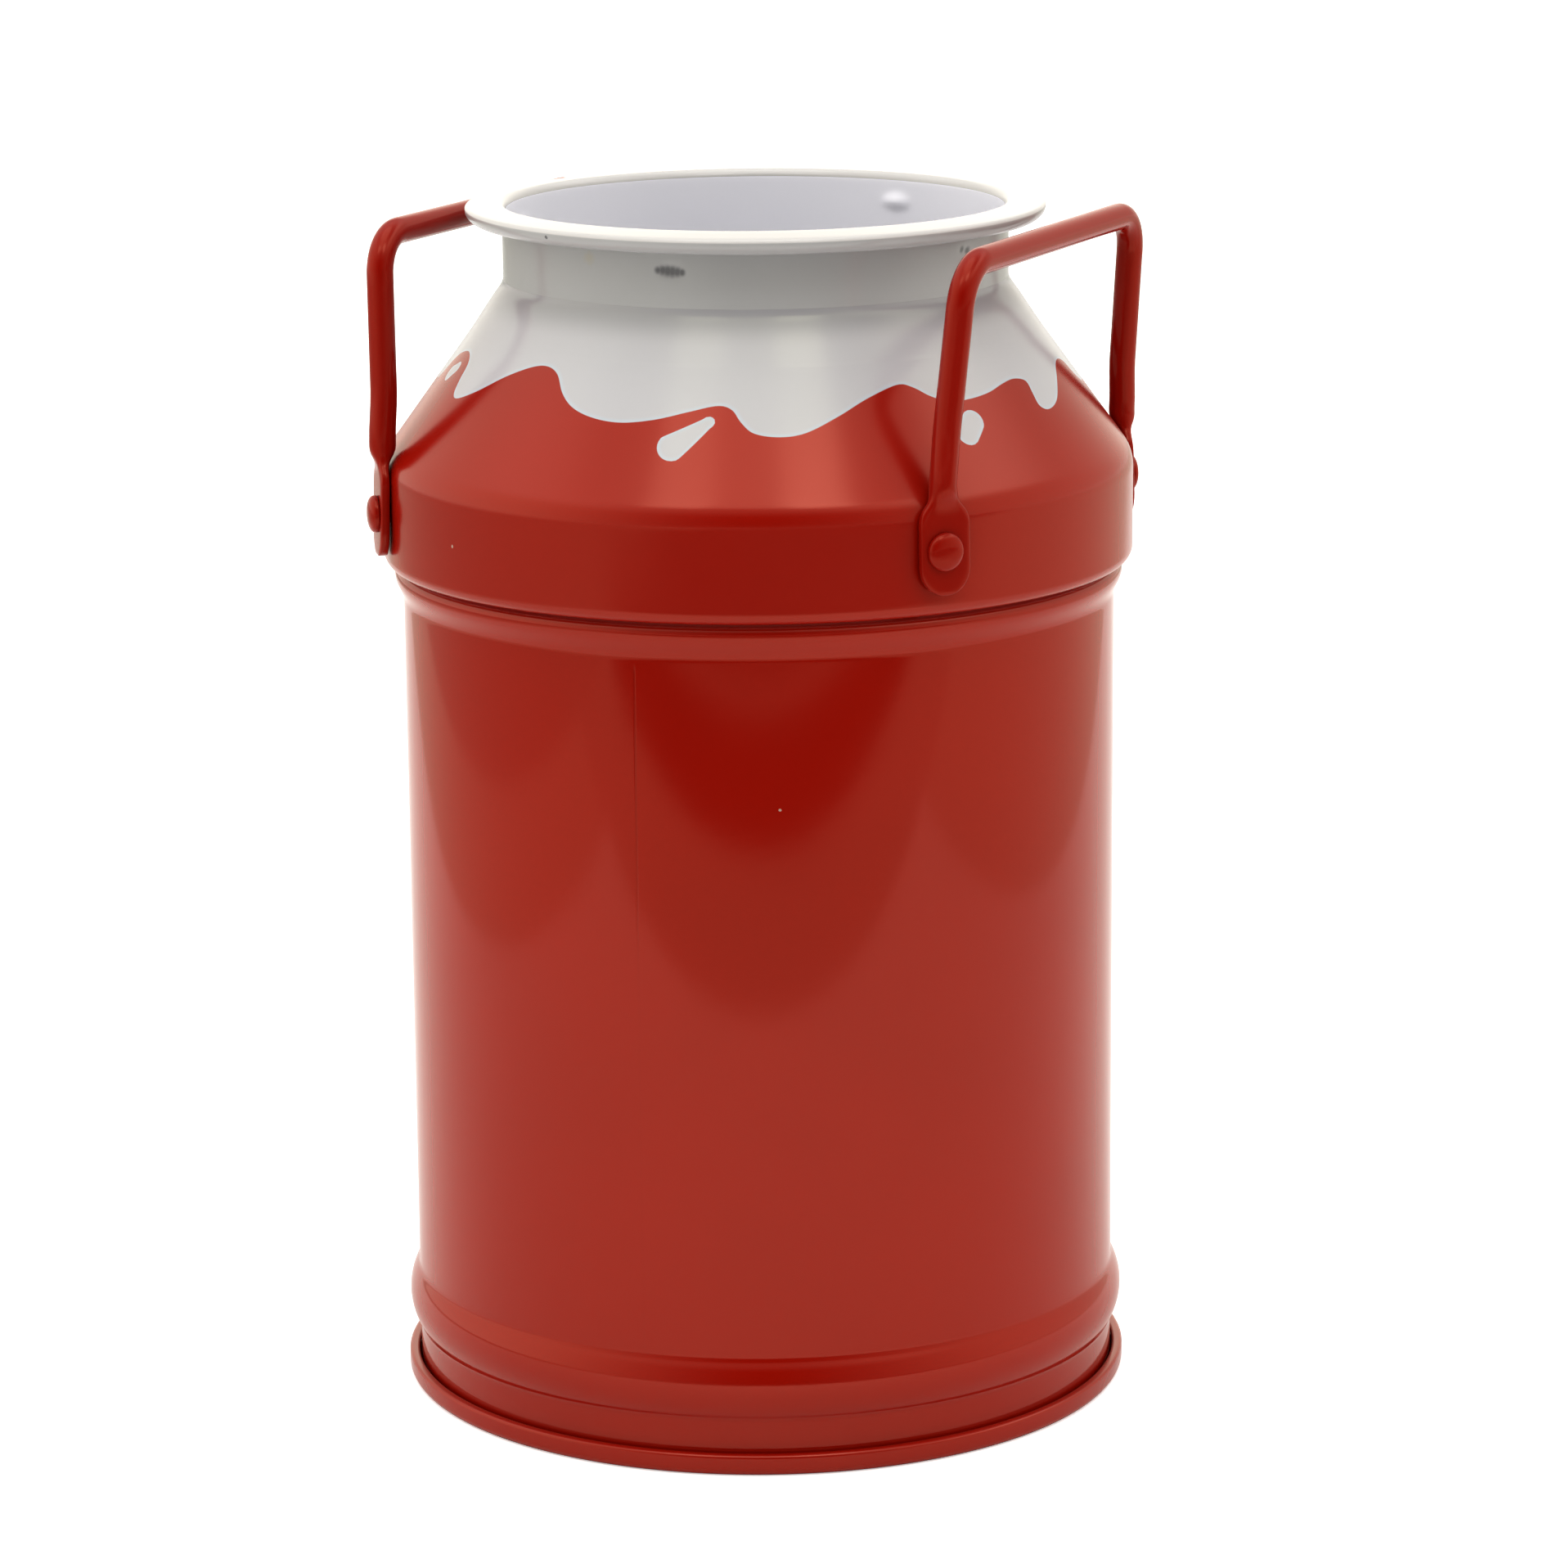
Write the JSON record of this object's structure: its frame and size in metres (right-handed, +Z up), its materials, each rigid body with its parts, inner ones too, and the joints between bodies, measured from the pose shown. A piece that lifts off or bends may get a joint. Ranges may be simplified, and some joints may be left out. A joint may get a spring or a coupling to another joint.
{
  "type": "milk churn cookie tin",
  "caption": "Round red biscuit tin shaped as a milk churn: straight can, slip-on sloping shoulder lid with an open flanged white neck, milk drip print and two wire carrying handles.",
  "frame": {"origin": "middle of the foot ring, on the surface that the tin stands on", "axes": "+Z up along the tin's axis, +X through the middle of the handle that leans out more, +Y across"},
  "size_m": [0.1072, 0.1072, 0.172],
  "materials": {
    "can_red": "glossy red lacquer on tinplate",
    "lid_print": "glossy red lacquer with a white milk drip print",
    "neck_white": "glossy white lacquer on tinplate",
    "handle_red": "glossy red lacquer on steel wire",
    "rivet_red": "glossy red lacquer"
  },
  "bodies": {
    "root": {"can_body": "can_red", "can_base": "can_red", "lid_shoulder": "lid_print", "lid_neck": "neck_white", "handle_right": "handle_red", "rivet_right_1": "rivet_red", "rivet_right_2": "rivet_red", "handle_left": "handle_red", "rivet_left_1": "rivet_red", "rivet_left_2": "rivet_red"}
  },
  "joints": []
}
